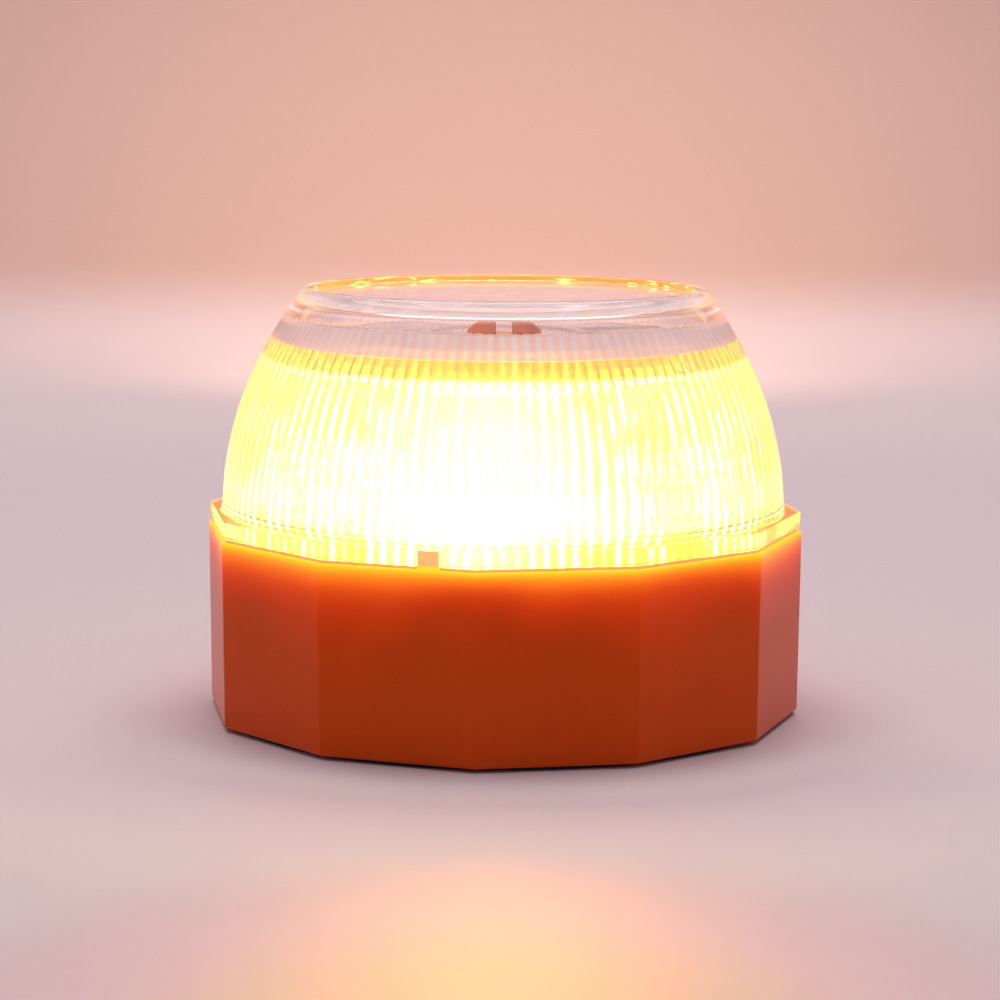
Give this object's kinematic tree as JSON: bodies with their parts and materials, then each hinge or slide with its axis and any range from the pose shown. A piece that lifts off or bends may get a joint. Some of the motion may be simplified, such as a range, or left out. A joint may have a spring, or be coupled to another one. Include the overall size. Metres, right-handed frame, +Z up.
{
  "type": "road flare",
  "caption": "Electronic road flare: twelve-sided orange cup, clear fluted dome with an amber light engine, push button, magnets and a lift-off battery door.",
  "frame": {"origin": "on the axis, in the plane that the foot ring stands on", "axes": "+Z up along the axis; a flat face of the cup looks along each of +X, -X, +Y and -Y; the push button is on the +Y face; the battery lies along X"},
  "size_m": [0.0936, 0.0936, 0.069],
  "materials": {
    "orange_plastic": "moulded orange plastic with a fine satin texture",
    "clear_plastic": "clear polished polycarbonate, fluted inside",
    "mirror_plastic": "vacuum-metallised plastic",
    "silver_plastic": "silver-grey moulded plastic",
    "black_rubber": "matt moulded rubber",
    "grey_silicone": "translucent silicone",
    "black_plastic": "moulded black plastic",
    "board_white": "white solder mask on an aluminium board",
    "board_green": "green solder mask on glass epoxy",
    "led_amber": "amber light-emitting diode, lit",
    "nickel": "nickel plating",
    "zinc_steel": "zinc-plated steel",
    "spring_steel": "drawn spring wire",
    "battery_jacket": "printed battery jacket in plain bands",
    "chip_black": "moulded epoxy",
    "coil_ferrite": "ferrite",
    "connector_ivory": "moulded nylon",
    "red_wire": "PVC insulation",
    "black_wire": "PVC insulation"
  },
  "bodies": {
    "beacon": {"base_shell": "orange_plastic", "rubber_foot": "black_rubber", "case_screws": "zinc_steel", "magnets": "nickel", "magnet_cups": "zinc_steel", "lens_dome": "clear_plastic", "lens_gasket": "grey_silicone", "led_board": "board_white", "board_screws": "zinc_steel", "leds": "led_amber", "light_guide": "clear_plastic", "reflector": "mirror_plastic", "reflector_cap": "silver_plastic", "snap_post": "orange_plastic", "driver_chips": "chip_black", "driver_coil": "coil_ferrite", "capacitors": "nickel", "lead_connector": "connector_ivory", "chassis": "black_plastic", "battery": "battery_jacket", "battery_terminals": "nickel", "battery_clip": "black_plastic", "red_lead": "red_wire", "black_lead": "black_wire", "button_bezel": "black_plastic", "button_guide": "black_plastic", "button_spring": "spring_steel", "switch_board": "board_green", "switch_housing": "chip_black", "switch_leads": "red_wire"},
    "button": {"push_button": "black_plastic", "button_seal": "black_rubber"},
    "plunger": {"switch_plunger": "connector_ivory"},
    "door": {"battery_door": "orange_plastic", "door_seal": "black_rubber", "door_screws": "zinc_steel"}
  },
  "joints": [
    {"name": "button_press", "type": "slide", "parent": "beacon", "child": "button", "axis": [0, -1, 0], "range_m": [0, 0.0012], "stiffness_N_per_m": 1200, "springref_m": -0.0012, "deforming": ["button_spring"]},
    {"name": "plunger_press", "type": "slide", "parent": "beacon", "child": "plunger", "axis": [0, -1, 0], "range_m": [0, 0.0012]},
    {"name": "door_release", "type": "slide", "parent": "beacon", "child": "door", "axis": [0, 0, -1], "range_m": [0, 0.03]}
  ],
  "couplings": [
    {"joint": "plunger_press", "follows": "button_press", "ratio": 1}
  ]
}
